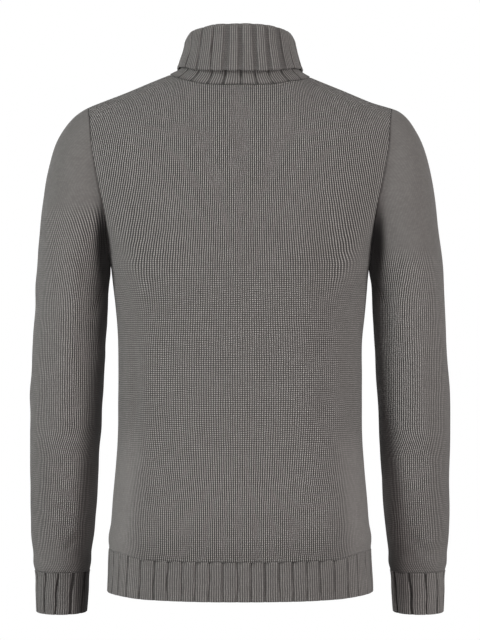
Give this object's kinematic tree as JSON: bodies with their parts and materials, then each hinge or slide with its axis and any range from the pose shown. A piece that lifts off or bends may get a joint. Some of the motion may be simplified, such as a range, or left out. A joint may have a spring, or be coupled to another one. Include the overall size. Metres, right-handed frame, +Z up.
{
  "type": "turtleneck sweater",
  "caption": "Long-sleeved knitted turtleneck sweater, hollow and filled out as worn, with a folded rib collar, rib hem and rib cuffs.",
  "frame": {"origin": "middle of the neck base, level with the high shoulder points, where the wearer's neck and shoulders hold the sweater up", "axes": "+Z up, -Y out of the front, +Y out of the back, +X to the wearer's left"},
  "size_m": [0.5562, 0.2246, 0.7705],
  "materials": {
    "jersey": "plain knit wool, matt",
    "rib": "rib knit wool, matt"
  },
  "bodies": {
    "root": {"back": "jersey", "front": "jersey", "sleeve_left": "jersey", "sleeve_right": "jersey", "collar": "rib", "hem_rib_back": "rib", "hem_rib_front": "rib", "cuff_left": "rib", "cuff_right": "rib"}
  },
  "joints": []
}
